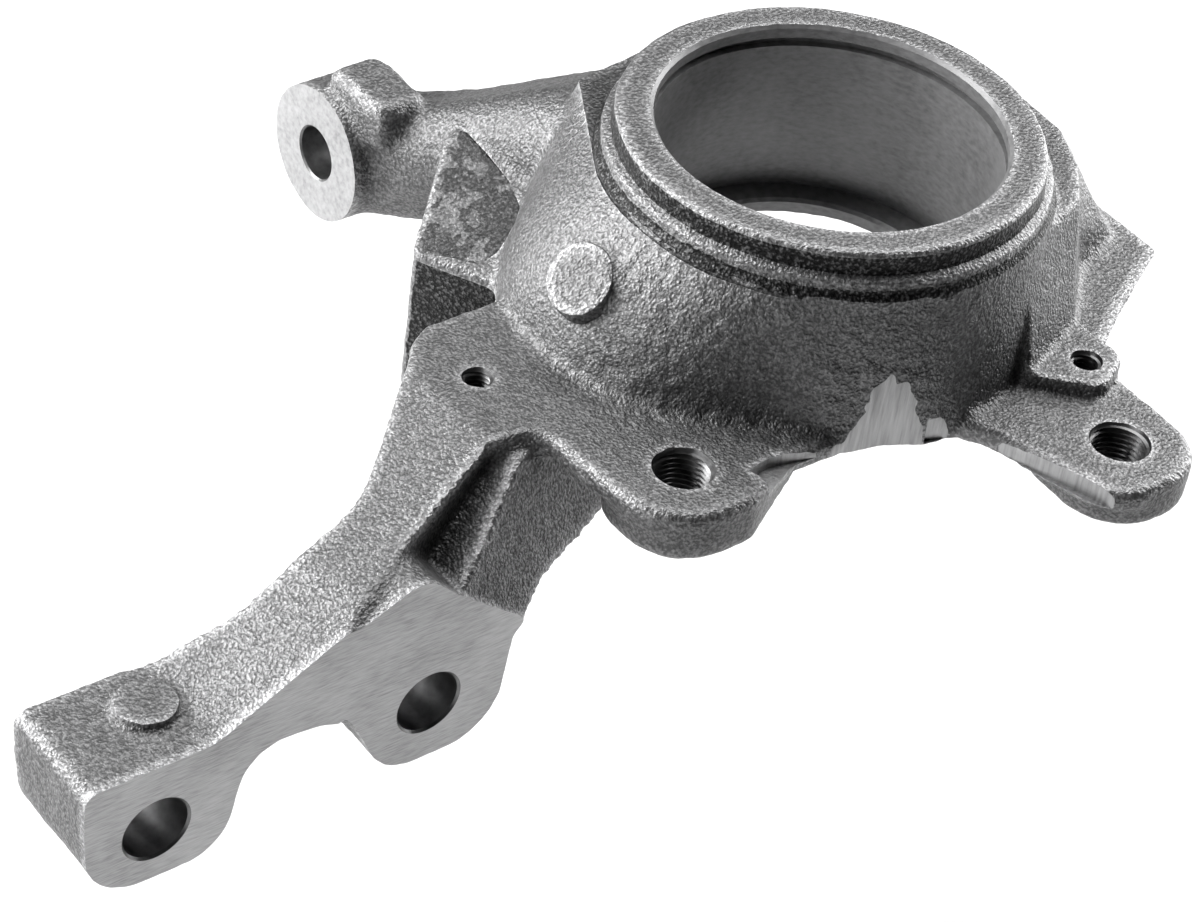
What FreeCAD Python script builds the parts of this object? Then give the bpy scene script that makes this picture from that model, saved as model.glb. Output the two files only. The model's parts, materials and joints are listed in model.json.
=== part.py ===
import FreeCAD, Part
import math
import os

# Front steering knuckle: one iron casting with machined faces, bores and threaded holes.
# Millimetres. Z is the wheel axis and points outboard, the origin is on it at the collar's rim.
# X runs along the strut bolts. The strut arm points to -Y, which is up on the vehicle.

V = FreeCAD.Vector
OUT = V(0, 0, 1)

# wheel bearing seat and its collar
bore_radius = 36.0
seat_depth = 40.0
lip_radius = 30.2
lip_thickness = 3.2
ring_groove_from_rim = 3.0
ring_groove_width = 2.0
ring_groove_depth = 1.8
rim_wall = 7.8
rim_height = 5.4
edge_break = 1.0
ledge_width = 2.6
ledge_drop = 2.2
axle_clearance = 10.0
axle_clearance_flare = 12.0

# housing round the collar, with a dome towards the strut arm and a buttress over the ball joint
shell_top = -10.5
shell_top_radius = 46.9
shell_foot_radius = 51.4
dome_side_angle = -41.0

# flange that carries the caliper ears
flange_top = -39.0
flange_thickness = 4.6
flange_edge_bevel = 1.2
shield_pad_height = 3.6

# caliper ears
ear_upper = (36.6, -59.7)
ear_lower = (72.4, 22.9)
ear_radius = 14.4
ear_upper_height = 12.0
ear_lower_height = 10.5
caliper_minor_radius = 5.4
caliper_thread_radius = 6.0
thread_chamfer = 0.6

# brake shield screws
shield_screw_left = (-5.7, -78.6)
shield_screw_right = (52.4, 31.2)
shield_minor_radius = 2.5
shield_thread_radius = 3.0
shield_screw_depth = 13.0

# milled relief between the ears
relief_centre = (72.9, -24.0)
relief_radius = 28.0
relief_angle = 13.6

# strut arm
strut_face = 30.4
strut_width = 26.0
strut_bolt_radius = 7.0
strut_bolt_chamfer = 0.5
spot_face_radius = 12.5
strut_bolt_top = (-171.6, -85.9)
strut_bolt_low = (-110.7, -82.2)
strut_end = -187.5
strut_end_top = -70.0
milling_stock = 2.5

# steering arm
tie_axis_x = -99.0
tie_axis_z = -51.0
tie_face = -55.0
tie_boss_radius = 15.5
tie_boss_length = 20.0
tie_hole_small = 6.0
tie_hole_taper = 0.05
tie_stop_height = 5.4

# ball joint boss
ball_face = 75.5
ball_axis_x = 3.0
ball_axis_z = -56.0
ball_hole_small = 7.5
ball_hole_taper = 0.06
ball_boss_radius = 15.5
ball_boss_half_width = 25.0
ball_shelf_bottom = -50.0
ball_shelf_lean = 7.0

# round casting pads
pad_radius = 6.2
pad_height = 1.8


def flat(z):
    return lambda u, v: V(u, v, z)


def upright(x):
    return lambda u, v: V(x, u, v)


# closed outline from corners (u, v, radius), laid out in space by place(u, v)
def outline(corners, place):
    ends = []
    for i, (u, v, radius) in enumerate(corners):
        here = V(u, v, 0)
        before = V(corners[i - 1][0], corners[i - 1][1], 0) - here
        after = V(corners[(i + 1) % len(corners)][0], corners[(i + 1) % len(corners)][1], 0) - here
        if radius <= 0:
            ends.append((here, here, here))
            continue
        half = before.getAngle(after) / 2
        bisector = (V(before).normalize() + V(after).normalize()).normalize()
        reach = radius / math.tan(half)
        middle = here + bisector * (radius / math.sin(half) - radius)
        ends.append((here + V(before).normalize() * reach, middle, here + V(after).normalize() * reach))
    edges = []
    for i, (start, middle, end) in enumerate(ends):
        if (end - start).Length > 1e-6:
            edges.append(Part.Arc(place(start.x, start.y), place(middle.x, middle.y), place(end.x, end.y)).toShape())
        following = ends[(i + 1) % len(ends)][0]
        if (following - end).Length > 1e-6:
            edges.append(Part.makeLine(place(end.x, end.y), place(following.x, following.y)))
    return Part.Wire(edges)


def slab(corners, bottom, top):
    return Part.Face(outline(corners, flat(bottom))).extrude(V(0, 0, top - bottom))


def side_slab(corners, left, right):
    return Part.Face(outline(corners, upright(left))).extrude(V(right - left, 0, 0))


def bevelled(solid, z, width):
    edges = [e for e in solid.Edges if abs(e.BoundBox.ZMin - z) < 1e-4 and abs(e.BoundBox.ZMax - z) < 1e-4]
    return solid.makeChamfer(width, edges)


# everything on the side of a plane that its normal points to
def half_space(point, normal, size=300.0):
    block = Part.makeBox(size, size, size, V(-size / 2, -size / 2, 0))
    block.Placement = FreeCAD.Placement(point, FreeCAD.Rotation(OUT, normal))
    return block


def pad(point, normal):
    direction = V(normal).normalize()
    return Part.makeCylinder(pad_radius, 4 + pad_height, point - direction * 4, direction)


def collar():
    outer = bore_radius + rim_wall
    foot = -(seat_depth + lip_thickness)
    inner = lip_radius - 1
    ledge = outer + ledge_width
    step = rim_height + ledge_drop
    profile = [
        (inner, 0, 0),
        (outer - edge_break, 0, 0),
        (outer, -edge_break, 0),
        (outer + 0.2, -rim_height + edge_break, 0),
        (outer + 0.2 + edge_break, -rim_height, 0),
        (ledge - edge_break, -step + edge_break / 2, 0),
        (ledge, -step - edge_break, 0),
        (ledge + 0.3, foot, 0),
        (inner, foot, 0),
    ]
    section = Part.Face(outline(profile, lambda u, v: V(u, 0, v)))
    return section.revolve(V(0, 0, 0), OUT, 360)


# housing outline at one level: three quarters of a circle round the bore, then a dome that
# leaves the circle along its tangent, turns round in front and ends at the steering arm.
# Every number of the shape is a share of the circle's radius.
def housing_level(z, radius, front, front_round, side, arm):
    angle = math.radians(dome_side_angle)
    run = (front + math.sin(angle)) / math.cos(angle)
    quarter = math.radians(80)
    reach = 1 / math.cos(quarter / 2)
    first = angle + quarter / 2
    second = first + quarter
    leave = second + quarter / 2
    corners = [
        (reach * math.cos(first), reach * math.sin(first), 1),
        (reach * math.cos(second), reach * math.sin(second), 1),
        (reach * math.cos(second) - 1.6 * math.sin(leave), reach * math.sin(second) + 1.6 * math.cos(leave), 0.85),
        arm,
        (side[0], -front, side[1]),
        (math.cos(angle) + run * math.sin(angle), -front, front_round),
    ]
    return outline([(radius * u, radius * v, radius * r) for u, v, r in corners], flat(z))


# corner that stands out from a circle round the bore, at an angle in degrees
def beyond(radius, out, degrees, rounding):
    angle = math.radians(degrees)
    return ((radius + out) * math.cos(angle), (radius + out) * math.sin(angle), rounding)


def housing():
    foot = flange_top - flange_thickness
    top_radius, foot_radius = shell_top_radius, shell_foot_radius
    middle = (2 * top_radius + foot_radius) / 3
    body = Part.makeLoft([
        housing_level(shell_top, top_radius, 1, 0.97, (-0.269, 0.917), (-1.045, -0.550, 0.021)),
        housing_level(shell_top - 11, middle, 1.157, 0.909, (-0.413, 0.826), (-1.012, -0.651, 0.150)),
        housing_level(foot, foot_radius, 1.230, 0.778, (-0.525, 0.661), (-0.944, -0.720, 0.233)),
    ], True)
    inside = (20, 10, 0)
    high = [(-1.05, 25.2, 0), (5.4, 51.6, 2.5), (7.2, 64.9, 4), (8.9, 77.6, 0), (10.8, 104.0, 0)]
    low = [(2.5, 18.9, 0), (5.3, 40.7, 2.5), (9.5, 66.8, 5), (21.4, 74.05, 0), (28.6, 91.4, 0)]
    buttress = Part.makeLoft([
        outline([inside] + [beyond(top_radius, *corner) for corner in high] + [(-14, 20, 0)], flat(shell_top - 0.6)),
        outline([inside] + [beyond(foot_radius, *corner) for corner in low] + [(-20, 20, 0)], flat(flange_top)),
    ], True, True)
    return [body, buttress]


def flange():
    bottom = flange_top - flange_thickness
    ux, uy = ear_upper
    lx, ly = ear_lower
    r = ear_radius
    edge = [
        (-24.5, -40, 0),
        (-24.5, -85.5, 10),
        (ux - 24.0, uy - 29.9, 1.5),
        (ux - 23.0, uy - 17.9, 5),
        (ux, uy - r - 1, 12),
        (ux + r, uy - r + 1, r),
        (ux + r, uy + 6, 8),
        (ux + 7.4, uy + 21.7, 10),
        (lx - 26.9, ly - 28.9, 4),
        (lx - 16, ly - 21.5, 4),
        (lx + r, ly - 13, 10),
        (lx + r, ly + r, r - 0.5),
        (lx - 16, ly + r, 4),
        (20, 44, 0),
    ]
    return bevelled(slab(edge, bottom, flange_top), flange_top, flange_edge_bevel)


def ear_bosses():
    ux, uy = ear_upper
    lx, ly = ear_lower
    r = ear_radius
    upper = [
        (ux - r + 3, uy - r, 10),
        (ux + r, uy - r, r - 1),
        (ux + r, uy + 7, 8),
        (38, -30, 3),
        (20, -38, 0),
    ]
    lower = [
        (lx - 9, ly - r, 6),
        (lx + r, ly - r, r - 1),
        (lx + r, ly + r, r - 1),
        (46, ly + r, 3),
        (44, ly - 2, 0),
    ]
    bodies = []
    for corners, height in ((upper, ear_upper_height), (lower, ear_lower_height)):
        boss = slab(corners, flange_top - height, flange_top - 1)
        bodies.append(bevelled(boss, flange_top - height, 1.8))
    return bodies


def shield_pad():
    sx, sy = shield_screw_right
    corners = [
        (49.8, 17.0, 1),
        (sx + 8.5, sy - 2.4, 4),
        (sx + 2.6, sy + 8.0, 5),
        (40, 39, 0),
        (38, 20, 0),
    ]
    return slab(corners, flange_top - 1, flange_top + shield_pad_height)


def strut_arm():
    ty, tz = strut_bolt_top
    ly, lz = strut_bolt_low
    side = [
        (-50, flange_top, 0),
        (-88, flange_top, 5),
        (-128, -52.8, 25),
        (ty + 12, strut_end_top, 10),
        (strut_end, strut_end_top, 3),
        (strut_end + 1.2, tz - 12.6, 12.8),
        (ty + 14.6, tz - 12.6, 10),
        (ty + 20, -74.4, 10),
        (ly - 21, -77, 10),
        (ly - 10, lz - 11.5, 11),
        (ly + 15.5, lz - 12.6, 12),
        (ly + 19, -72.5, 8),
        (-60, -64.0, 8),
        (-46, -58.0, 0),
        (-46, flange_top, 0),
    ]
    left = strut_face - strut_width
    stock = strut_face + milling_stock
    plan = [
        (-24.5, -46, 0),
        (-24.5, -79, 9),
        (left + 2.5, -114, 25),
        (left + 5.5, -142, 20),
        (left, -164, 20),
        (left, strut_end - 1, 2),
        (stock, strut_end - 1, 2),
        (stock, -137, 5),
        (21, -112, 20),
        (12.4, -88.6, 2),
        (8, -46, 0),
    ]
    beam = side_slab(side, -40, 60).common(slab(plan, -110, 0))
    block = [
        (ly - 21, -57.0, 4),
        (ly - 4, -48.4, 7),
        (ly + 6, -57.6, 5),
        (ly + 19.5, -68.8, 3),
        (ly + 16.5, lz - 14.4, 13),
        (ly - 9.5, lz - 14.6, 12),
        (ly - 19, -76, 7),
    ]
    lug = side_slab(block, strut_face - 10, stock)
    rib = [
        (-44, -42.0, 0),
        (-84, -42.0, 3),
        (ly + 3, -58.4, 0),
        (ly + 3, -76, 0),
        (-96, -76, 3),
        (-84, -66.5, 10),
        (-62, -62.8, 8),
        (-44, -52.5, 0),
    ]
    web = side_slab(rib, 0, stock)
    corner = V(17.5, -84.5, -43.5)
    face = V(strut_face - corner.x, ly + 4.5 - corner.y, -57 - corner.z)
    foot = V(strut_face - corner.x, ly + 19 - corner.y, -69 - corner.z)
    web = web.cut(half_space(corner, face.cross(foot)))
    return [beam, lug, web]


def steering_arm():
    boss = Part.makeCylinder(
        tie_boss_radius, tie_boss_length + milling_stock,
        V(tie_axis_x, tie_face - milling_stock, tie_axis_z), V(0, 1, 0))
    sections = []
    for x, near, far, low, high, shoulder in (
            (tie_axis_x, tie_face + 4, tie_face + tie_boss_length + 1, -63.0, -38.5, 8.0),
            (-78.0, -49.0, -17.0, -59.0, -30.5, 13.0),
            (-58.0, -41.5, -4.0, -54.0, -18.0, 17.0),
            (-38.0, -37.0, 8.0, -50.0, -11.0, 17.0)):
        corners = [(near, low, 0), (far, low, 0), (far, high, 7), (near, high, shoulder)]
        sections.append(outline(corners, upright(x)))
    # the flank's lower edge climbs towards the hub, and the beam is bevelled away below it
    start = V(tie_axis_x + 19.1, tie_face + 7, tie_axis_z - 3.9)
    climb = V(12.8, 0, 17.1)
    under = V(2.4, 6.0, -5.8)
    outer_end = Part.makeBox(60, 80, 80, V(tie_axis_x - 24, tie_face - 20, tie_axis_z - 40))
    bevel = half_space(start, under.cross(climb)).common(outer_end)
    beam = Part.makeLoft(sections, True).cut(bevel)
    top = tie_axis_z + tie_boss_radius + tie_stop_height
    stop = slab([
        (tie_axis_x - 2, tie_face + 2.5, 3),
        (tie_axis_x + 19, tie_face + 2.5, 3),
        (tie_axis_x + 19, tie_face + 16, 4),
        (tie_axis_x - 2, tie_face + 16, 4),
    ], tie_axis_z + 10, top)
    return [boss, beam, bevelled(stop, top, 2.0)]


def corner_web():
    corners = [(-47, -66, 2), (-29, -56.5, 4), (-20, -40, 0), (-50, -20, 0), (-68, -44, 3)]
    block = slab(corners, -75, -20)
    edge = V(-47, -66, -40)
    along = V(17, 9, 0)
    rise = V(-15, 30, 12)
    return block.cut(half_space(edge, along.cross(rise)))


# shelf whose sides lean in on the way down, and the round boss that carries the joint's stud
def ball_boss():
    half = ball_boss_half_width
    levels = []
    for z, lean in ((ball_shelf_bottom, ball_shelf_lean), (flange_top, 0)):
        levels.append(outline([
            (ball_axis_x + half - lean, ball_face - lean / 2, 1.5),
            (ball_axis_x - half + lean, ball_face - lean / 2, 5),
            (-38 + lean, 46 - lean / 2, 5),
            (-30, 30, 0),
            (38, 30, 0),
            (50 - lean, 38 - lean / 2, 4),
            (39.5 - lean, 55 - lean / 2, 5),
        ], flat(z)))
    shelf = Part.makeLoft(levels, True, True)
    start = 47.0
    boss = Part.makeCylinder(
        ball_boss_radius, ball_face + milling_stock - start,
        V(ball_axis_x, start, ball_axis_z), V(0, 1, 0))
    return [shelf, boss]


def casting_pads():
    arm_pad = V(strut_face - strut_width / 2 - 1.8, strut_bolt_top[0] + 5.8, strut_end_top)
    dome_pad = V(-3.0, -56.2, -21.5)
    return [pad(arm_pad, OUT), pad(dome_pad, V(0.1, -0.75, 0.65))]


def casting():
    bodies = [flange(), shield_pad(), corner_web()]
    bodies += housing() + ball_boss() + ear_bosses()
    bodies += strut_arm() + steering_arm() + casting_pads()
    return collar().multiFuse(bodies)


def turned_bore():
    foot = -(seat_depth + lip_thickness)
    clearance = bore_radius + axle_clearance
    cuts = [
        Part.makeCylinder(bore_radius, seat_depth, V(0, 0, -seat_depth)),
        Part.makeCylinder(lip_radius, 80, V(0, 0, -79)),
        Part.makeCylinder(
            bore_radius + ring_groove_depth, ring_groove_width,
            V(0, 0, -ring_groove_from_rim - ring_groove_width)),
        Part.makeCone(clearance + axle_clearance_flare, clearance, 36, V(0, 0, foot - 36)),
        Part.makeCylinder(clearance + axle_clearance_flare, 40, V(0, 0, foot - 75.9)),
    ]
    return cuts


def tapped_hole(x, y, top, minor, major, depth):
    mouth = Part.makeCone(minor, major + thread_chamfer, major + thread_chamfer - minor,
                          V(x, y, top - (major + thread_chamfer - minor)))
    return [Part.makeCylinder(minor, depth + 1, V(x, y, top - depth)), mouth]


def machining():
    ux, uy = ear_upper
    lx, ly = ear_lower
    sx, sy = shield_screw_left
    rx, ry = shield_screw_right
    cuts = turned_bore()
    cuts += tapped_hole(ux, uy, flange_top, caliper_minor_radius, caliper_thread_radius, 30)
    cuts += tapped_hole(lx, ly, flange_top, caliper_minor_radius, caliper_thread_radius, 30)
    cuts += tapped_hole(sx, sy, flange_top, shield_minor_radius, shield_thread_radius, shield_screw_depth)
    cuts += tapped_hole(rx, ry, flange_top + shield_pad_height, shield_minor_radius, shield_thread_radius, 40)

    # strut bolts pass right through the arm: one face is milled flat, the back is spot-faced
    cuts.append(Part.makeBox(20, 110, 80, V(strut_face, -200, -110)))
    back = strut_face - strut_width
    for y, z in (strut_bolt_top, strut_bolt_low):
        cuts.append(Part.makeCylinder(spot_face_radius, 40, V(back, y, z), V(-1, 0, 0)))
        cuts.append(Part.makeCylinder(strut_bolt_radius, 80, V(back - 30, y, z), V(1, 0, 0)))
        cuts.append(Part.makeCone(
            strut_bolt_radius, strut_bolt_radius + 2 * strut_bolt_chamfer, 2 * strut_bolt_chamfer,
            V(strut_face - strut_bolt_chamfer, y, z), V(1, 0, 0)))

    # tie rod boss: milled face and a hole that widens away from it
    reach = tie_boss_length + 1
    cuts.append(Part.makeBox(60, 20, 60, V(tie_axis_x - 30, tie_face - 20, tie_axis_z - 40)))
    cuts.append(Part.makeCone(
        tie_hole_small, tie_hole_small + reach * tie_hole_taper, reach,
        V(tie_axis_x, tie_face, tie_axis_z), V(0, 1, 0)))

    # ball joint boss: milled face and a hole that widens towards it
    depth = 32.0
    cuts.append(Part.makeBox(120, 20, 80, V(-60, ball_face, -100)))
    cuts.append(Part.makeCone(
        ball_hole_small + depth * ball_hole_taper, ball_hole_small, depth,
        V(ball_axis_x, ball_face, ball_axis_z), V(0, -1, 0)))
    return cuts


# end mill path: an arc into the housing that runs out straight along the lower ear
def milled_relief():
    cx, cy = relief_centre
    angle = math.radians(relief_angle)
    ax, ay = math.cos(angle), math.sin(angle)
    sx, sy = cx - relief_radius * ay, cy + relief_radius * ax
    run_out = 2 * relief_radius
    corners = [
        (sx, sy, 0),
        (sx + run_out * ax, sy + run_out * ay, 0),
        (sx + run_out * ax, cy - relief_radius, 0),
        (cx, cy - relief_radius, 0),
    ]
    arc = Part.makeCylinder(relief_radius, 80, V(cx, cy, -100))
    return [arc, slab(corners, -100, -20)]


def knuckle():
    body = casting()
    for tool in machining() + milled_relief():
        body = body.cut(tool)
    return body


os.makedirs("parts", exist_ok=True)
part = knuckle()
solids = part.Solids
print("solids", len(solids), "volume", round(part.Volume / 1000, 1), "cm3", "valid", part.isValid())
part = solids[0] if len(solids) == 1 else part
part.exportStep("parts/knuckle.step")
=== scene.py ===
import bpy
import bmesh
import json
import math
import numpy
from mathutils import Matrix, Vector, noise


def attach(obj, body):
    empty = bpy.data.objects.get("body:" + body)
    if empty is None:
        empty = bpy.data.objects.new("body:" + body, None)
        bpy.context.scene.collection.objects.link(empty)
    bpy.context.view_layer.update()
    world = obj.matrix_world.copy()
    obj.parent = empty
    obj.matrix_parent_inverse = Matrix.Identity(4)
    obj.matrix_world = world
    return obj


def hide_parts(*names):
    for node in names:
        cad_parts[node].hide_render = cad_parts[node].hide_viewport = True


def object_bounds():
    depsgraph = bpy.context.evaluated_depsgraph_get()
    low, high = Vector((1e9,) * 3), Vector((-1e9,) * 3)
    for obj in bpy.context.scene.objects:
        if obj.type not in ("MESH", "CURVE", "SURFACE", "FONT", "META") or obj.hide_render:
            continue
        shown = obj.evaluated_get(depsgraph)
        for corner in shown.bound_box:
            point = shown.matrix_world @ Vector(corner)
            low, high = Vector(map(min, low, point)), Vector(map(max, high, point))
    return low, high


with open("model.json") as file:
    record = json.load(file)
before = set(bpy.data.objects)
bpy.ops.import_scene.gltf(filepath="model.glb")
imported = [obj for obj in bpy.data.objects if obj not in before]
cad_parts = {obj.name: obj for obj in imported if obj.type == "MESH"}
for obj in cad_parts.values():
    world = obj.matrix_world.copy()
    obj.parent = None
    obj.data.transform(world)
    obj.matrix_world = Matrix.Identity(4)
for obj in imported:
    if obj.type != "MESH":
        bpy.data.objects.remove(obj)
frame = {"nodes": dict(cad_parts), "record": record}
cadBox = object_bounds()
knuckleNode = frame["nodes"]["knuckle"]
mounts = {mount["name"]: mount for mount in frame["record"]["mounts"]}
mm = 0.001


def lerp(a, b, t):
    return a + (b - a) * t


def mountPlace(name):
    return [round(v / mm, 3) for v in mounts[name]["pos_m"]]


def mountSize(name, size):
    return mounts[name]["dims"][size]


# meshes, in millimetres

def newObject(name, data):
    obj = bpy.data.objects.new(name, data)
    bpy.context.scene.collection.objects.link(obj)
    return obj


def meshFrom(name, points, faces, material=None):
    mesh = bpy.data.meshes.new(name)
    mesh.from_pydata([Vector(p) * mm for p in points], [], faces)
    mesh.validate()
    bm = bmesh.new()
    bm.from_mesh(mesh)
    bmesh.ops.recalc_face_normals(bm, faces=bm.faces)
    bm.to_mesh(mesh)
    bm.free()
    if material:
        mesh.materials.append(material)
    return newObject(name, mesh)


def axisPlace(origin, axis):
    turn = Vector((0, 0, 1)).rotation_difference(Vector(axis)).to_matrix()
    return lambda p: Vector(origin) + turn @ Vector(p)


def ring(radius, height, around, centre=(0, 0, 0)):
    x, y, z = centre
    turns = [2 * math.pi * i / around for i in range(around)]
    return [(x + radius * math.cos(a), y + radius * math.sin(a), z + height) for a in turns]


def ringFaces(rows, around, wrapped=False):
    # quads from each ring of points to the next, then a face over either end or back to the first ring
    faces = []
    for row in range(rows if wrapped else rows - 1):
        after = (row + 1) % rows
        for i in range(around):
            j = (i + 1) % around
            faces.append((row * around + i, row * around + j, after * around + j, after * around + i))
    if not wrapped:
        faces.append(tuple(range(around - 1, -1, -1)))
        faces.append(tuple(range((rows - 1) * around, rows * around)))
    return faces


def turnedPiece(name, profile, origin, axis, material=None, segments=96):
    # solid of revolution: profile is (radius, height) from one end of the axis to the other
    place = axisPlace(origin, axis)
    points = [place(p) for radius, height in profile for p in ring(radius, height, segments)]
    return meshFrom(name, points, ringFaces(len(profile), segments), material)


def loftFaces(n):
    # two equal outlines, one after the other: a face on each and quads between them
    faces = [tuple(range(n - 1, -1, -1)), tuple(range(n, 2 * n))]
    return faces + [(i, (i + 1) % n, n + (i + 1) % n, n + i) for i in range(n)]


def prism(name, outline, low, high, material=None):
    # upright block: outline is (x, y), from height low to height high
    points = [(x, y, low) for x, y in outline] + [(x, y, high) for x, y in outline]
    return meshFrom(name, points, loftFaces(len(outline)), material)


def block(name, low, high, material=None):
    corners = [(low[0], low[1]), (high[0], low[1]), (high[0], high[1]), (low[0], high[1])]
    return prism(name, corners, low[2], high[2], material)


def joinMeshes(name, objects):
    # one object that holds the meshes of several, which are removed
    bm = bmesh.new()
    materials = []
    for obj in objects:
        part = bmesh.new()
        part.from_mesh(obj.data)
        for material in obj.data.materials:
            if material not in materials:
                materials.append(material)
        shift = [materials.index(m) for m in obj.data.materials]
        for face in part.faces:
            face.material_index = shift[face.material_index] if shift else 0
        temp = bpy.data.meshes.new("temp")
        part.to_mesh(temp)
        part.free()
        bm.from_mesh(temp)
        bpy.data.meshes.remove(temp)
        bpy.data.objects.remove(obj)
    mesh = bpy.data.meshes.new(name)
    bm.to_mesh(mesh)
    bm.free()
    for material in materials:
        mesh.materials.append(material)
    return newObject(name, mesh)


def applyModifiers(obj):
    bpy.context.view_layer.update()
    graph = bpy.context.evaluated_depsgraph_get()
    mesh = bpy.data.meshes.new_from_object(obj.evaluated_get(graph))
    obj.modifiers.clear()
    obj.data = mesh


def cutWith(obj, tool, operation="DIFFERENCE"):
    cut = obj.modifiers.new("cut", "BOOLEAN")
    cut.operation = operation
    cut.solver = "EXACT"
    cut.material_mode = "TRANSFER"
    cut.object = tool
    applyModifiers(obj)
    bpy.data.objects.remove(tool)


# node trees

def newMaterial(name):
    material = bpy.data.materials.new(name)
    material.use_nodes = True
    return material, material.node_tree.nodes, material.node_tree.links


def mathNode(nodes, links, operation, *values):
    # each value is a number or the output of another node
    node = nodes.new("ShaderNodeMath")
    node.operation = operation
    for socket, value in zip(node.inputs, values):
        if isinstance(value, bpy.types.NodeSocket):
            links.new(value, socket)
        else:
            socket.default_value = value
    return node.outputs[0]


def textureNode(nodes, links, kind, place, **values):
    texture = nodes.new(kind)
    for key, value in values.items():
        texture.inputs[key].default_value = value
    links.new(place, texture.inputs["Vector"])
    return texture


def rangeNode(nodes, links, value, low, high, toLow, toHigh):
    spread = nodes.new("ShaderNodeMapRange")
    spread.inputs["From Min"].default_value = low
    spread.inputs["From Max"].default_value = high
    spread.inputs["To Min"].default_value = toLow
    spread.inputs["To Max"].default_value = toHigh
    links.new(value, spread.inputs["Value"])
    return spread.outputs["Result"]


def rampNode(nodes, links, value, stops):
    ramp = nodes.new("ShaderNodeValToRGB")
    elements = ramp.color_ramp.elements
    while len(elements) < len(stops):
        elements.new(0.5)
    for element, (position, grey) in zip(elements, stops):
        element.position = position
        element.color = (grey, grey, grey * 1.01, 1)
    links.new(value, ramp.inputs["Fac"])
    return ramp.outputs["Color"]


def bumpNode(nodes, links, height, strength, distance):
    bump = nodes.new("ShaderNodeBump")
    bump.inputs["Strength"].default_value = strength
    bump.inputs["Distance"].default_value = distance
    links.new(height, bump.inputs["Height"])
    return bump.outputs["Normal"]


def nearSurface(nodes, reach, inside):
    # 1 on open faces, less where the surface closes in: in a hollow, or within the iron at an outer edge
    near = nodes.new("ShaderNodeAmbientOcclusion")
    near.samples = 6
    near.inside = inside
    near.only_local = True
    near.inputs["Distance"].default_value = reach
    return near.outputs["AO"]


castSkin = {
    "darkPit": 0.085, "midGrey": 0.14, "brightGrain": 0.20,
    "greyStops": (0.36, 0.5, 0.66),
    "metallic": 0.75, "roughness": (0.33, 0.59),
    "fineGrain": 1250.0, "sandGrain": 1500.0, "blotches": 45.0,
    "creases": 0.4, "grainRange": (-0.15, 0.8),
    "bumpStrength": 1.0, "bumpHeight": 0.00034,
    "hollowReach": 0.010, "hollowRange": (0.2, 0.75), "hollowShadeGrey": 0.22,  # painted shade: corners and hollows darkened
    "edgeReach": 0.0028, "edgeRange": (0.96, 0.7), "edgeHighlightGain": 1.2,  # painted highlight: outer edges brightened
}
paintedShadeSkin = dict(castSkin, darkPit=0.035, midGrey=0.06, brightGrain=0.105)  # painted shade: darker copy of the skin for the shelf and the corner web
shadeSkin = dict(castSkin, darkPit=0.005, midGrey=0.02, brightGrain=0.10)  # painted shade: near-black copy of the skin for the walls of the rim's steps and the web's front


def castIronMaterial(name, values):
    material, nodes, links = newMaterial(name)
    shader = nodes["Principled BSDF"]
    shader.inputs["Metallic"].default_value = values["metallic"]
    place = nodes.new("ShaderNodeTexCoord").outputs["Object"]
    noiseKind, cellKind = "ShaderNodeTexNoise", "ShaderNodeTexVoronoi"
    fine = textureNode(nodes, links, noiseKind, place, Scale=values["fineGrain"], Detail=2.0, Roughness=0.6)
    cells = textureNode(nodes, links, cellKind, place, Scale=values["sandGrain"])
    blotch = textureNode(nodes, links, noiseKind, place, Scale=values["blotches"], Detail=3.0, Roughness=0.5)
    # round grains with creases between them, broken up by finer noise
    dome = mathNode(nodes, links, "MULTIPLY", cells.outputs["Distance"], values["creases"])
    grain = mathNode(nodes, links, "SUBTRACT", fine.outputs["Fac"], dome)
    height = rangeNode(nodes, links, grain, *values["grainRange"], 0.0, 1.0)
    greys = (values["darkPit"], values["midGrey"], values["brightGrain"])
    colour = rampNode(nodes, links, height, list(zip(values["greyStops"], greys)))
    # painted shade: base colour darkened where the surface closes in around a hollow
    around = nearSurface(nodes, values["hollowReach"], False)
    hollow = rangeNode(nodes, links, around, *values["hollowRange"], values["hollowShadeGrey"], 1.0)
    # painted highlight: base colour brightened near outer edges
    within = nearSurface(nodes, values["edgeReach"], True)
    edge = rangeNode(nodes, links, within, *values["edgeRange"], 1.0, 1.0 + values["edgeHighlightGain"])
    shade = nodes.new("ShaderNodeVectorMath")
    shade.operation = "SCALE"
    links.new(colour, shade.inputs["Vector"])
    links.new(mathNode(nodes, links, "MULTIPLY", hollow, edge), shade.inputs["Scale"])
    links.new(shade.outputs["Vector"], shader.inputs["Base Color"])
    rough = rangeNode(nodes, links, blotch.outputs["Fac"], 0.0, 1.0, *values["roughness"])
    links.new(rough, shader.inputs["Roughness"])
    bump = bumpNode(nodes, links, height, values["bumpStrength"], values["bumpHeight"])
    links.new(bump, shader.inputs["Normal"])
    return material


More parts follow.
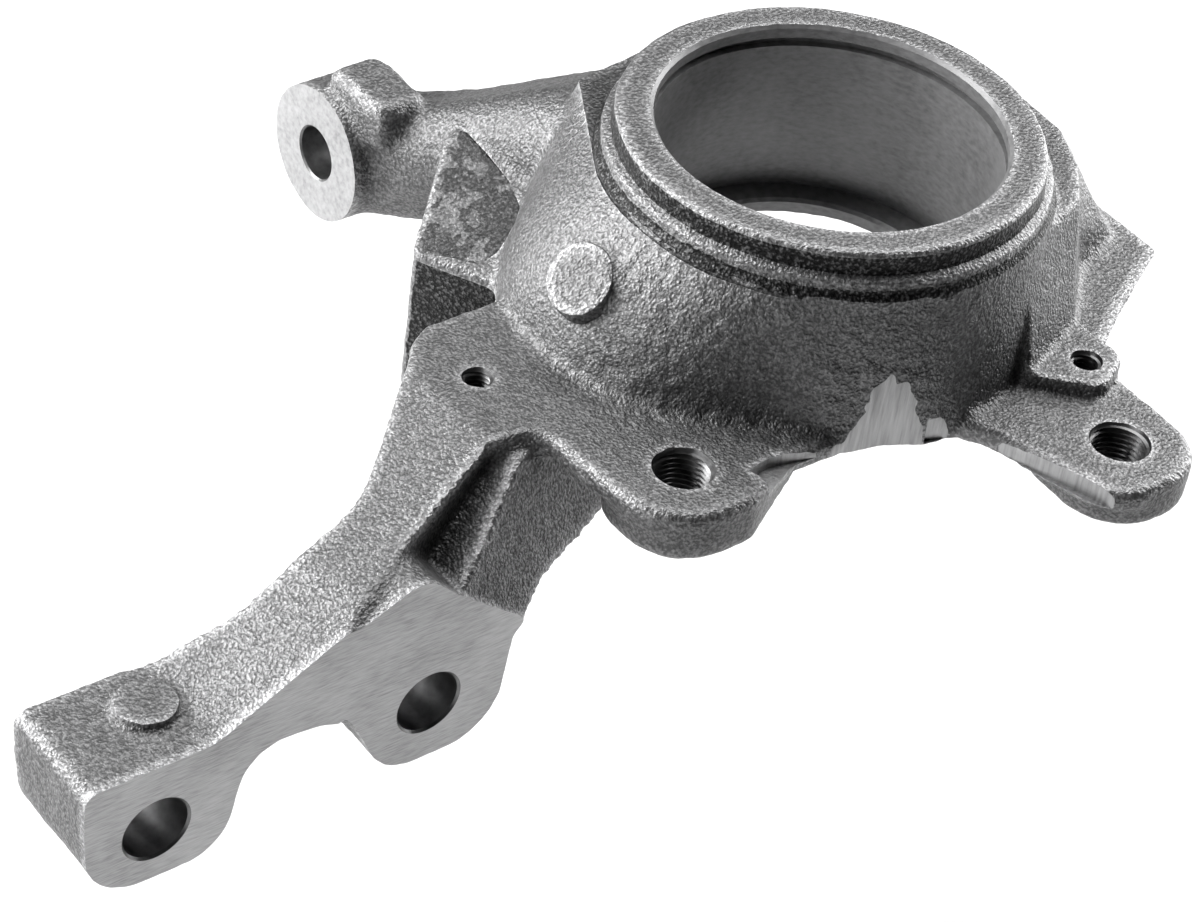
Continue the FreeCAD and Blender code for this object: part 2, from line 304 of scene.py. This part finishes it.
milledFinish = {  # pitch: marks to the metre along X, Y and Z
    "millMarks": {"grey": 0.38, "roughness": 0.40, "metallic": 0.85, "bump": 0.10, "pitch": (500, 260, 3000)},
    "boreMarks": {"grey": 0.17, "roughness": 0.42, "metallic": 0.3, "bump": 0.12, "pitch": (500, 500, 1100)},
    "reliefMarks": {"grey": 0.38, "roughness": 0.42, "metallic": 0.8, "bump": 0.7, "pitch": (1300, 1300, 110)},
    "faceMarks": {"grey": 0.36, "roughness": 0.36, "metallic": 0.85, "bump": 0.12, "pitch": (900, 900, 900)},
    "drilledWall": {"grey": 0.15, "roughness": 0.36, "metallic": 0.9, "bump": 0.2, "pitch": (500, 500, 500)},
}
milledCloud = {
    "scale": 60.0, "share": 0.35,  # wide soft spots, and their share beside the marks
    "stops": (0.3, 0.5, 0.7), "shades": (0.62, 1.0, 1.3),  # shares of the finish's grey
    "duller": 0.1, "glossier": 0.08,
    "bumpHeight": 0.0002,
}


def machinedMaterial(name, values):
    material, nodes, links = newMaterial(name)
    cloudy = milledCloud
    shader = nodes["Principled BSDF"]
    shader.inputs["Metallic"].default_value = values["metallic"]
    place = nodes.new("ShaderNodeTexCoord").outputs["Object"]
    stretch = nodes.new("ShaderNodeMapping")
    stretch.inputs["Scale"].default_value = values["pitch"]
    links.new(place, stretch.inputs["Vector"])
    along, noiseKind = stretch.outputs["Vector"], "ShaderNodeTexNoise"
    marks = textureNode(nodes, links, noiseKind, along, Scale=1.0, Detail=3.0, Roughness=0.55)
    cloud = textureNode(nodes, links, noiseKind, place, Scale=cloudy["scale"], Detail=2.0, Roughness=0.5)
    fineShare = mathNode(nodes, links, "MULTIPLY", marks.outputs["Fac"], 1 - cloudy["share"])
    pattern = mathNode(nodes, links, "MULTIPLY_ADD", cloud.outputs["Fac"], cloudy["share"], fineShare)
    greys = [values["grey"] * share for share in cloudy["shades"]]
    colour = rampNode(nodes, links, pattern, list(zip(cloudy["stops"], greys)))
    links.new(colour, shader.inputs["Base Color"])
    low, high = values["roughness"] - cloudy["glossier"], values["roughness"] + cloudy["duller"]
    rough = rangeNode(nodes, links, marks.outputs["Fac"], 0.0, 1.0, low, high)
    links.new(rough, shader.inputs["Roughness"])
    bump = bumpNode(nodes, links, marks.outputs["Fac"], values["bump"], cloudy["bumpHeight"])
    links.new(bump, shader.inputs["Normal"])
    return material


castIron = castIronMaterial("sandCastIron", castSkin)
paintedShadeIron = castIronMaterial("paintedShadeIron", paintedShadeSkin)
deepShadeIron = castIronMaterial("deepShadeIron", shadeSkin)
milled = machinedMaterial("milledIron", milledFinish["millMarks"])
bored = machinedMaterial("boredIron", milledFinish["boreMarks"])
relieved = machinedMaterial("endMilledIron", milledFinish["reliefMarks"])
faced = machinedMaterial("facedIron", milledFinish["faceMarks"])
drilled = machinedMaterial("drilledIron", milledFinish["drilledWall"])
print("materials made")


# machined faces and holes: places in millimetres, most of them those of the frame's mounts

collar = {  # rim wall, ledge and shelf, as (radius, height)
    "shelf": -10.5,
    "wall": ((42.4, 1.0), (42.5, 0.02), (43.2, -0.15), (43.7, -0.55), (43.85, -1.1),
             (44.0, -4.2), (44.15, -4.9), (44.7, -5.3), (45.5, -5.6), (45.9, -6.1),
             (46.0, -7.6), (46.15, -8.3), (46.5, -8.75), (46.9, -9.3), (47.0, -10.5)),
    "around": 300, "grid": 0.7, "shelfGrid": 0.9, "shelfReach": 66, "outside": 75, "over": 4,
    "upperWall": (-4.9, -1.2), "lowerWall": -6.6,  # heights of the walls given painted shade
    "paintedShadeAbove": 0.6,  # how far up from the shelf the painted shade goes
}
bore = {
    "radius": mountSize("bearing_bore", "r_mm"), "seat": mountSize("bearing_bore", "length_mm"),
    "lip": 30.2, "lipChamfer": 0.7, "leadIn": 0.8,
    "groove": 3.0, "grooveWidth": 2.0, "grooveDepth": 1.8,
    "undercut": 0.35, "undercutStart": 0.9, "undercutEnd": 0.6,
    "mouth": 0.05, "over": 6, "under": 60,
}
strut = {
    "face": mountPlace("strut_face")[0], "back": 4.4, "bolt": mountSize("strut_bolt_top", "r_mm"),
    "bolts": [mountPlace(name)[1:] for name in ("strut_bolt_top", "strut_bolt_low")],
    "chamfer": 0.6, "spotFace": 12.5, "spotDepth": 0.3,
    "planeLow": (-200, -112), "planeHigh": (-84.5, -30),  # y and z of the milled face
    "spotStart": 40, "boltStart": 30, "boltOver": 8,
}
tie = {
    "x": mountPlace("tie_rod_face")[0], "z": -51.0, "face": mountPlace("tie_rod_face")[1],
    "mouth": 6.4, "mouthDepth": 0.4, "small": 6.0, "large": 7.05, "length": 21.0,
    "over": 6, "behind": 8, "reach": 24, "above": 22,
}
ball = {
    "x": mountPlace("ball_joint_face")[0], "z": -56.0, "face": mountPlace("ball_joint_face")[1],
    "small": 7.5, "large": 9.42, "length": 32.0, "over": 6,
    "planeLow": (-50, -90), "planeHigh": (60, -30),  # x and z of the milled face
}
cutOver = 12  # how far a plane's tool stands off the part
relief = {
    "centre": (75.3, -27.5), "radius": 31.0, "angle": 13.6, "length": 60.0, "steps": 48,
    "heights": (-100, -20),
    "earStrip": [(49.2, -8.6), (51.0, -3.9), (54.7, -0.3), (60.2, 2.7),
                 (70.1, 6.2), (84.2, 11.0), (90, 4), (70, -20)],
    "earHeights": (-43.0, -37.5),
    "flangeStrip": [(45.0, -22.0), (44.6, -31.0), (43.2, -37.6), (42.2, -43.0),
                    (43.4, -49.0), (60, -44), (60, -22)],
    "flangeHeights": (-41.6, -38.4),
}
tapped = {
    "caliper_bolt_upper": {"top": -39.0, "major": 6.05, "pitch": 1.25, "depth": 13.5},
    "caliper_bolt_lower": {"top": -39.0, "major": 6.05, "pitch": 1.25, "depth": 12.0},
    "shield_screw_left": {"top": -39.0, "major": 3.05, "pitch": 1.0, "depth": 13.0},
    "shield_screw_right": {"top": -35.4, "major": 3.05, "pitch": 1.0, "depth": 15.0},
}
for name, hole in tapped.items():
    hole["at"] = (*mountPlace(name)[:2], hole["top"])
    hole["minor"] = mountSize(name, "r_mm")


# the casting as it leaves the mould: machined faces get their stock back and holes are filled

blank = {
    "voxel": 0.8, "stock": 2.6, "shelfStock": 2.2, "triangles": 170000,
    "filletRounds": 20, "filletPull": 0.5, "edgePull": 0.025,  # hollows fill up, outer edges wear a little
    "softPull": 0.5, "lastPull": 0.35,
    "crispFill": 0.93, "crispWear": 0.8,  # how much of either a crisp place is spared
    "crispAbove": -13.0, "crispWithin": 66,  # the collar and its shelf stay crisp
    "torn": 1.3, "coarse": 0.9,  # extra roughness
}
softPlaces = [  # where the casting flows over without an edge: centre and reach
    ((-42, -36, -20), 15),
    ((-81, -50, -38), 9),
    ((-38, -42, -14), 8),
]
crispPlaces = [  # small steps that stay sharp
    ((15.6, -165.8, -69), 12),
    ((52.4, 31.2, -38), 15),
    ((44, 21, -23), 22),
    ((37, 38, -22), 22),
    ((24, -96, -50), 20),
]
tornPlaces = [  # where the skin is ragged: beside the relief, and along the free end of the strut arm
    ((45.0, -26.5, -28.5), 9),
    ((46.5, -16.0, -27.0), 6),
    ((45.5, -31.0, -36.0), 6),
    ((14.0, -187.0, -72.0), 8),
    ((8.0, -187.0, -80.0), 6),
]
coarsePlaces = [((22, -44, -28), 34), ((44, -14, -28), 26)]  # larger grains

plug = {  # what fills the holes before the skin is grown, a little wider than each hole
    # (radius, height): the bore, and over it the steps of the rim
    "bore": [(38.6, -43.1), (38.6, -12), (45.8, -12), (45.8, -0.02)],
    "tie": 8.5, "tieShort": 0.6, "tieProud": 0.1, "ball": (8.8, 10.6), "ballLength": 29.0,
    "bolt": 8.6, "boltStart": 0.3, "tappedWall": 1.4, "tappedShort": 1.6, "below": 0.02, "segments": 32,
}
wallStock = {  # housing's wall where the relief is milled into it
    "inner": 40.0, "levels": ((-10.6, 46.8), (-43.5, 51.3)),  # (height, outer radius)
    "angles": (-40, 8), "steps": 24,
}


def addStock(bm, normal, distance, stock):
    # raises the flat faces of one plane, so that the plane can be cut again with a crisp edge
    direction = Vector(normal).normalized()
    level, flatness = 2e-5, 0.9995
    found = [f for f in bm.faces if f.normal.dot(direction) > flatness
             and abs(f.calc_center_median().dot(direction) - distance * mm) < level]
    grown = bmesh.ops.extrude_face_region(bm, geom=found)
    moved = [v for v in grown["geom"] if isinstance(v, bmesh.types.BMVert)]
    bmesh.ops.translate(bm, verts=moved, vec=direction * stock * mm)
    bmesh.ops.delete(bm, geom=found, context="FACES")
    print("stock on", len(found), "faces")


def holePlugs(stock):
    few = plug["segments"]
    tieEnd, ballEnd = tie["length"] - plug["tieShort"], plug["ballLength"]
    tieProfile = [(plug["tie"], -stock - plug["tieProud"]), (plug["tie"], tieEnd)]
    ballProfile = [(plug["ball"][0], -ballEnd), (plug["ball"][1], stock)]
    boltProfile = [(plug["bolt"], plug["boltStart"]), (plug["bolt"], strut["face"] - strut["back"] + stock)]
    made = [
        turnedPiece("borePlug", plug["bore"], (0, 0, 0), (0, 0, 1)),
        turnedPiece("tiePlug", tieProfile, (tie["x"], tie["face"], tie["z"]), (0, 1, 0), segments=few),
        turnedPiece("ballPlug", ballProfile, (ball["x"], ball["face"], ball["z"]), (0, 1, 0), segments=few),
    ]
    for y, z in strut["bolts"]:
        made.append(turnedPiece("boltPlug", boltProfile, (strut["back"], y, z), (1, 0, 0), segments=few))
    for hole in tapped.values():
        radius = hole["major"] + plug["tappedWall"]
        profile = [(radius, -hole["depth"] + plug["tappedShort"]), (radius, -plug["below"])]
        made.append(turnedPiece("tapPlug", profile, hole["at"], (0, 0, 1), segments=few))
    return made


def reliefWall():
    steps = wallStock["steps"]
    turns = [math.radians(lerp(*wallStock["angles"], i / steps)) for i in range(steps + 1)]
    points = []
    for z, outer in wallStock["levels"]:
        for radius in (wallStock["inner"], outer):
            points += [(radius * math.cos(a), radius * math.sin(a), z) for a in turns]
    count = steps + 1
    faces = []
    for i in range(steps):
        for a, b in ((0, 1), (1, 3), (3, 2), (2, 0)):
            faces.append((a * count + i, a * count + i + 1, b * count + i + 1, b * count + i))
    corners = (0, count, 3 * count, 2 * count)
    faces += [corners, tuple(corner + steps for corner in (0, 2 * count, 3 * count, count))]
    return meshFrom("wallStock", points, faces)


def castBlank():
    bm = bmesh.new()
    bm.from_mesh(knuckleNode.data)
    bmesh.ops.remove_doubles(bm, verts=bm.verts, dist=1e-6)
    stock = blank["stock"]
    addStock(bm, (1, 0, 0), strut["face"], stock)
    addStock(bm, (0, -1, 0), -tie["face"], stock)
    addStock(bm, (0, 1, 0), ball["face"], stock)
    addStock(bm, (0, 0, 1), collar["shelf"], blank["shelfStock"])
    mesh = bpy.data.meshes.new("castBody")
    bm.to_mesh(mesh)
    bm.free()
    body = newObject("castBody", mesh)
    body = joinMeshes("castBody", [body] + holePlugs(stock) + [reliefWall()])
    remesh = body.modifiers.new("skin", "REMESH")
    remesh.mode = "VOXEL"
    remesh.voxel_size = blank["voxel"] * mm
    applyModifiers(body)
    body.data.materials.clear()
    body.data.materials.append(castIron)
    print("cast blank", len(body.data.polygons), "faces")
    return body


def vertexArrays(mesh):
    points = numpy.empty(len(mesh.vertices) * 3)
    mesh.vertices.foreach_get("co", points)
    edges = numpy.empty(len(mesh.edges) * 2, dtype=numpy.int32)
    mesh.edges.foreach_get("vertices", edges)
    return points.reshape(-1, 3), edges.reshape(-1, 2)


def placeVertices(mesh, points):
    mesh.vertices.foreach_set("co", points.ravel())
    mesh.update()


def vertexNormals(mesh, points):
    placeVertices(mesh, points)
    normals = numpy.empty(len(points) * 3)
    mesh.vertex_normals.foreach_get("vector", normals)
    return normals.reshape(-1, 3)


def nearness(points, places):
    # 1 within two thirds of a place's reach, 0 from its reach on
    weight = numpy.zeros(len(points))
    for centre, reach in places:
        away = numpy.linalg.norm(points / mm - numpy.array(centre), axis=1) / reach
        weight = numpy.maximum(weight, numpy.clip(3 - 3 * away, 0, 1))
    return weight


def neighbourPull(points, edges, count):
    # from each vertex to the middle of its neighbours
    total = numpy.empty_like(points)
    first, second = edges[:, 0], edges[:, 1]
    for axis in range(3):
        there = numpy.bincount(first, points[second, axis], len(points))
        total[:, axis] = there + numpy.bincount(second, points[first, axis], len(points))
    return total / count[:, None] - points


def castFillets(body):
    # hollow corners fill up to a fillet while outer edges keep a small radius
    mesh = body.data
    points, edges = vertexArrays(mesh)
    count = numpy.bincount(edges.ravel(), minlength=len(points)).astype(float)
    soft = nearness(points, softPlaces)
    crisp = nearness(points, crispPlaces)
    radius = numpy.hypot(points[:, 0], points[:, 1]) / mm
    crisp[(points[:, 2] / mm > blank["crispAbove"]) & (radius < blank["crispWithin"])] = 1
    fill = blank["filletPull"] * (1 - blank["crispFill"] * crisp)
    wear = blank["edgePull"] * (1 - blank["crispWear"] * crisp) + blank["softPull"] * soft
    for turn in range(blank["filletRounds"]):
        if turn % 4 == 0:
            normals = vertexNormals(mesh, points)
        pull = neighbourPull(points, edges, count)
        outward = (pull * normals).sum(axis=1)
        factor = numpy.where(outward > 0, fill, wear)
        points = points + pull * factor[:, None]
    points = points + neighbourPull(points, edges, count) * blank["lastPull"]
    placeVertices(mesh, points)
    print("fillets made")


skinRelief = {  # height in mm and pitch in mm of each size of bump
    "waves": (0.22, 11.0), "grains": (0.13, 2.6), "pits": (0.11, 1.7),
}


def skinBump(p):
    (waveHeight, wavePitch), (grainHeight, grainPitch), (pitHeight, pitPitch) = skinRelief.values()
    height = waveHeight * noise.noise(p / wavePitch) + grainHeight * noise.noise(p / grainPitch)
    return height + pitHeight * noise.noise(p / pitPitch + Vector((5, 2, 7)))


def roughen(body):
    # sand-cast skin: bumps along the normal, in three sizes
    mesh = body.data
    points = vertexArrays(mesh)[0]
    normals = vertexNormals(mesh, points)
    bumps = numpy.array([skinBump(Vector(p)) for p in points / mm])
    torn, coarse = nearness(points, tornPlaces), nearness(points, coarsePlaces)
    bumps *= 1 + blank["torn"] * torn + blank["coarse"] * coarse
    points = points + normals * (bumps[:, None] * mm)
    low, high = (numpy.array(v) for v in cadBox)
    placeVertices(mesh, numpy.clip(points, low, high))
    thin = body.modifiers.new("thin", "DECIMATE")
    thin.ratio = blank["triangles"] / (2 * len(mesh.polygons))
    applyModifiers(body)
    print("skin roughened", len(body.data.polygons), "faces")


thread = {
    "around": 40, "perTurn": 6, "over": 3.0,
    "chamfer": 0.25, "mouth": 0.3, "runOut": 0.15,  # how far the mouth is wider than the thread
    "sharpness": 1.35, "flat": 0.12,  # thread's flanks, and the flat at its crest
    "spare": 0.2,
}


def threadTool(name, hole):
    # solid whose wall is a screw thread: a grid round the axis whose radius follows the helix
    x, y, z = hole["at"]
    around, perTurn = thread["around"], thread["perTurn"]
    chamfer = hole["major"] + thread["chamfer"] - hole["minor"]
    rows = int((hole["depth"] + thread["spare"]) / hole["pitch"] * perTurn) + 1
    heights = [-hole["depth"] + hole["pitch"] * row / perTurn for row in range(rows + 1)]
    points = []
    for h in [height for height in heights if height < -chamfer]:
        for i in range(around):
            a = 2 * math.pi * i / around
            phase = (h / hole["pitch"] - i / around) % 1.0
            ridge = (1 - abs(2 * phase - 1)) * thread["sharpness"] - thread["flat"]
            r = lerp(hole["minor"], hole["major"], min(1.0, max(0.0, ridge)))
            points.append((x + r * math.cos(a), y + r * math.sin(a), z + h))
    wide = hole["major"] + thread["mouth"]
    for r, h in ((hole["major"], -chamfer + thread["runOut"]), (wide, 0.0), (wide, thread["over"])):
        points += ring(r, h, around, hole["at"])
    return meshFrom(name, points, ringFaces(len(points) // around, around), drilled)


def collarTool():
    # everything outside the rim wall and above the shelf, with a grainy surface like the rest
    around, wall, shelf = collar["around"], collar["wall"], collar["shelf"]
    rows = []
    for (r0, z0), (r1, z1) in zip(wall, wall[1:]):
        steps = max(1, round(math.hypot(r1 - r0, z1 - z0) / collar["grid"]))
        rows += [(lerp(r0, r1, i / steps), lerp(z0, z1, i / steps)) for i in range(steps)]
    rows.append(wall[-1])
    wallRows = len(rows)
    reach = wall[-1][0]
    while reach < collar["shelfReach"]:
        reach += collar["shelfGrid"]
        rows.append((reach, shelf))
    roughRows = len(rows)
    rows += [(collar["outside"], shelf), (collar["outside"], collar["over"]), (wall[0][0], collar["over"])]
    points = []
    for row, (r, z) in enumerate(rows):
        for i in range(around):
            a = 2 * math.pi * i / around
            p = Vector((r * math.cos(a), r * math.sin(a), z))
            bump = skinBump(p) if 0 < row < roughRows else 0
            if row < wallRows:
                p += Vector((math.cos(a), math.sin(a), 0)) * bump
            else:
                p.z += bump
            points.append(p)
    tool = meshFrom("collarTool", points, ringFaces(len(rows), around, True), castIron)
    tool.data.materials.append(paintedShadeIron)
    tool.data.materials.append(deepShadeIron)
    upperLow, upperHigh = collar["upperWall"]
    for polygon in tool.data.polygons:
        height = polygon.center.z / mm
        # painted shade: the shelf and the band just above it get the darker skin
        if height < shelf + collar["paintedShadeAbove"]:
            polygon.material_index = 1
        # painted shade: the rim's step walls get the near-black skin
        elif upperLow < height < upperHigh or height < collar["lowerWall"]:
            polygon.material_index = 2
    return tool


web = {  # corner web between the steering arm and the flange
    "corner": (-47, -66, -40), "along": (17, 9, 0), "rise": (-15, 30, 12),  # its sloping face
    "rim": [(-50.5, -72.0), (-42.2, -61.6), (-36.2, -57.2), (-35.8, -52.4), (-37.0, -46.4),
            (-41.0, -43.0), (-49.4, -40.9), (-57.2, -40.7), (-64.4, -41.0), (-72.0, -44.0)],
    "lean": (-0.30, -0.62, 1.0), "height": 7,
    "front": ((-49.0, -67.2), (-27.5, -55.7)), "inward": (-0.47, 0.88),
    "frontDepth": 0.35, "frontOver": 3, "frontHeights": (-74.0, -41.6),
}


def webTool():
    # wedge over the corner web: its lower face is the web's plane, and the cut gives that face the darker
    # painted-shade skin
    corner = Vector(web["corner"])
    normal = Vector(web["along"]).cross(Vector(web["rise"])).normalized()
    low = []
    for x, y in web["rim"]:
        drop = (normal.x * (x - corner.x) + normal.y * (y - corner.y)) / normal.z
        low.append(Vector((x, y, corner.z - drop)))
    lean = Vector(web["lean"]) * web["height"]
    return meshFrom("webTool", low + [p + lean for p in low], loftFaces(len(low)), paintedShadeIron)


def webFront():
    # thin cut off the web's front, which gives that face the near-black painted shade
    inward = Vector(web["inward"])
    start, end = (Vector(p) + inward * web["frontDepth"] for p in web["front"])
    away = inward * -web["frontOver"]
    return prism("webFront", [start, end, end + away, start + away], *web["frontHeights"], deepShadeIron)


def boreProfile():
    radius, seat, lip, groove = bore["radius"], bore["seat"], bore["lip"], bore["groove"]
    wide, undercut = radius + bore["grooveDepth"], radius + bore["undercut"]
    return [
        (radius + bore["leadIn"], bore["over"]),
        (radius + bore["leadIn"], bore["mouth"]),
        (radius, -bore["leadIn"]),
        (radius, -groove),
        (wide, -groove),
        (wide, -groove - bore["grooveWidth"]),
        (radius, -groove - bore["grooveWidth"]),
        (radius, -seat + bore["undercutStart"]),
        (undercut, -seat + bore["undercutEnd"]),
        (undercut, -seat),
        (lip + bore["lipChamfer"], -seat),
        (lip, -seat - bore["lipChamfer"]),
        (lip, -bore["under"]),
    ]


def millPlanes():
    (y0, z0), (y1, z1) = strut["planeLow"], strut["planeHigh"]
    (bx0, bz0), (bx1, bz1) = ball["planeLow"], ball["planeHigh"]
    x, y, z, reach = tie["x"], tie["face"], tie["z"], tie["reach"]
    planes = [
        block("strutPlane", (strut["face"], y0, z0), (strut["face"] + cutOver, y1, z1), milled),
        block("tiePlane", (x - reach, y - cutOver, z - reach), (x + reach, y, z + tie["above"]), faced),
        block("ballPlane", (bx0, ball["face"], bz0), (bx1, ball["face"] + cutOver, bz1), faced),
    ]
    spot = [(strut["spotFace"], -strut["spotStart"]), (strut["spotFace"], strut["spotDepth"])]
    for y, z in strut["bolts"]:
        planes.append(turnedPiece("spotFace", spot, (strut["back"], y, z), (1, 0, 0), faced, 48))
    return joinMeshes("planes", planes)


def reliefTool():
    # an arc into the housing that runs out straight along the lower ear
    angle = math.radians(relief["angle"])
    (cx, cy), radius, steps = relief["centre"], relief["radius"], relief["steps"]
    path = []
    for i in range(steps + 1):
        a = lerp(angle + math.pi / 2, 3 * math.pi / 2, i / steps)
        path.append((cx + radius * math.cos(a), cy + radius * math.sin(a)))
    run = relief["length"]
    path.append((cx + run, cy - radius))
    path.append((path[0][0] + run * math.cos(angle), path[0][1] + run * math.sin(angle)))
    return prism("reliefTool", path, *relief["heights"], relieved)


def edgeStrips():
    return joinMeshes("edgeStrips", [
        prism("earStrip", relief["earStrip"], *relief["earHeights"], relieved),
        prism("flangeStrip", relief["flangeStrip"], *relief["flangeHeights"], relieved),
    ])


def drillTools():
    holes = [threadTool(name, hole) for name, hole in tapped.items()]
    bolt, length, wide = strut["bolt"], strut["face"] - strut["back"], strut["bolt"] + strut["chamfer"]
    boltProfile = [
        (bolt, -strut["boltStart"]),
        (bolt, length - 0.5),
        (wide, length + 0.1),
        (wide, length + strut["boltOver"]),
    ]
    for y, z in strut["bolts"]:
        holes.append(turnedPiece("boltHole", boltProfile, (strut["back"], y, z), (1, 0, 0), drilled, 64))
    tieProfile = [
        (tie["mouth"], -tie["over"]),
        (tie["mouth"], -0.02),
        (tie["small"], tie["mouthDepth"]),
        (tie["large"], tie["length"]),
        (tie["large"], tie["length"] + tie["behind"]),
    ]
    tieMiddle = (tie["x"], tie["face"], tie["z"])
    holes.append(turnedPiece("tieHole", tieProfile, tieMiddle, (0, 1, 0), drilled, 64))
    ballProfile = [(ball["small"], -ball["length"]), (ball["large"], 0), (ball["large"], ball["over"])]
    ballMiddle = (ball["x"], ball["face"], ball["z"])
    holes.append(turnedPiece("ballHole", ballProfile, ballMiddle, (0, 1, 0), drilled, 64))
    return joinMeshes("holes", holes)


def cutMachining(body):
    # planes first, then the bore and the relief, then the holes
    cutWith(body, millPlanes())
    cutWith(body, collarTool())
    cutWith(body, webTool())
    cutWith(body, webFront())
    cutWith(body, turnedPiece("boreTool", boreProfile(), (0, 0, 0), (0, 0, 1), bored, 192))
    cutWith(body, reliefTool())
    cutWith(body, edgeStrips())
    cutWith(body, drillTools())
    print("machined", len(body.data.polygons), "faces")


pads = {  # two round casting pads
    "height": 1.85, "segments": 56, "grain": 0.8,
    "foot": [(0.7, -2.5), (0.5, -0.3), (0.1, 0.25)],  # beyond the radius, and height
    "rim": [(0, -0.45), (-0.15, -0.12), (-0.55, 0)],  # beyond the radius, and below the top
    "step": 0.8, "steps": 6,  # rings on the top
    "arm": {"at": (15.6, -165.8, -70.0), "outward": (0, 0, 1), "radius": 6.3},
    "dome": {"at": (-3.7, -56.6, -21.9), "outward": (0.1, -0.75, 0.65), "radius": 7.5},
}


def roundPad(place, outward, radius):
    # raised disc with a worn edge and a foot that flares a little
    height = pads["height"]
    rows = [(radius + r, h) for r, h in pads["foot"]]
    rows += [(radius + r, height + h) for r, h in pads["rim"]]
    top = rows[-1][0]
    rows += [(top - pads["step"] * i, height) for i in range(1, pads["steps"] + 1)]
    disc = turnedPiece("roundPad", rows, place, outward, castIron, pads["segments"])
    lift = outward.normalized()
    for vertex in disc.data.vertices:
        p = vertex.co / mm
        sideways = Vector((skinBump(p + Vector((9, 0, 0))), skinBump(p), 0))
        vertex.co += lift * skinBump(p * 1.3) * mm * pads["grain"] + sideways * mm
    return disc


def addPads(body):
    discs = []
    for pad in (pads["arm"], pads["dome"]):
        discs.append(roundPad(pad["at"], Vector(pad["outward"]).normalized(), pad["radius"]))
    cutWith(body, joinMeshes("pads", discs), "UNION")


casting = castBlank()
castFillets(casting)
roughen(casting)
addPads(casting)
cutMachining(casting)
casting.name = "ironCasting"
casting.data.name = "ironCasting"
for polygon in casting.data.polygons:
    polygon.use_smooth = True
casting.data.set_sharp_from_angle(angle=math.radians(38))
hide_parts("knuckle")
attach(casting, "root")
print("triangles", sum(len(p.vertices) - 2 for p in casting.data.polygons))


# floor, light and camera, in metres

studio = {
    "floorGrey": 0.63, "floorRoughness": 0.9, "floorLevel": -0.2, "floorReach": 0.85, "floorSides": 96,
    "air": 0.0,  # light from all round
    "boxSize": 0.8, "boxDistance": 1.35, "boxAim": (-0.01, -0.05, -0.05),
    "softboxes": {  # direction seen from the knuckle in degrees (round, up), and watts
        "leftSoftbox": (-140, 38, 23.0),
        "leftLowSoftbox": (-140, 10, 24.0),
        "nearSoftbox": (-92, 14, 8.0),
        "rightSoftbox": (90, 10, 19.0),
        "rightHighSoftbox": (95, 38, 10.0),
        "backHighSoftbox": (135, 66, 13.0),
    },
}
photoView = {
    "lens": 108.01, "sensor": 36, "nearest": 0.01,
    "place": (0.427768, -0.431386, 0.395044),
    "right": (0.59174, 0.79816, 0.11308),
    "up": (-0.55997, 0.30607, 0.76990),
    "back": (0.57990, -0.51890, 0.62806),
}


def softLight(name, place, target, size, power):
    light = bpy.data.lights.new(name, "AREA")
    light.shape = "RECTANGLE"
    light.size, light.size_y = size, size
    light.energy = power
    lamp = newObject(name, light)
    lamp.location = place
    lamp.rotation_euler = (target - place).to_track_quat("-Z", "Y").to_euler()


def makeFloor():
    floor = newObject("studioFloor", bpy.data.meshes.new("studioFloor"))
    rim = ring(studio["floorReach"], studio["floorLevel"], studio["floorSides"])
    floor.data.from_pydata(rim, [], [tuple(range(len(rim)))])
    paint, nodes = newMaterial("paleFloor")[:2]
    shader = nodes["Principled BSDF"]
    grey = studio["floorGrey"]
    shader.inputs["Base Color"].default_value = (grey, grey, grey, 1)
    shader.inputs["Roughness"].default_value = studio["floorRoughness"]
    floor.data.materials.append(paint)


def makeAir():
    world = bpy.data.worlds.new("studioAir")
    bpy.context.scene.world = world
    world.use_nodes = True
    nodes, links = world.node_tree.nodes, world.node_tree.links
    nodes["Background"].inputs["Strength"].default_value = studio["air"]
    # plain white behind the floor: it is seen, and it lights nothing
    paper = nodes.new("ShaderNodeBackground")
    paper.inputs["Color"].default_value = (1, 1, 1, 1)
    ray = nodes.new("ShaderNodeLightPath")
    choice = nodes.new("ShaderNodeMixShader")
    links.new(ray.outputs["Is Camera Ray"], choice.inputs[0])
    links.new(nodes["Background"].outputs[0], choice.inputs[1])
    links.new(paper.outputs[0], choice.inputs[2])
    links.new(choice.outputs[0], nodes["World Output"].inputs["Surface"])


def makeLights():
    aim = Vector(studio["boxAim"])
    for name, (around, up, power) in studio["softboxes"].items():
        turn, lift = math.radians(around), math.radians(up)
        level = math.cos(lift)
        away = Vector((math.cos(turn) * level, math.sin(turn) * level, math.sin(lift)))
        softLight(name, aim + away * studio["boxDistance"], aim, studio["boxSize"], power)


def makeCamera():
    data = bpy.data.cameras.new("photoView")
    data.sensor_width = photoView["sensor"]
    data.lens = photoView["lens"]
    data.clip_start = photoView["nearest"]
    camera = newObject("photoView", data)
    right, up, back = (Vector(photoView[axis]) for axis in ("right", "up", "back"))
    turn = Matrix((right, up, back)).transposed().to_4x4()
    camera.matrix_world = Matrix.Translation(photoView["place"]) @ turn
    bpy.context.scene.camera = camera


makeFloor()
makeLights()
makeAir()
makeCamera()
bpy.context.scene.view_settings.view_transform = "Standard"
print("studio ready")
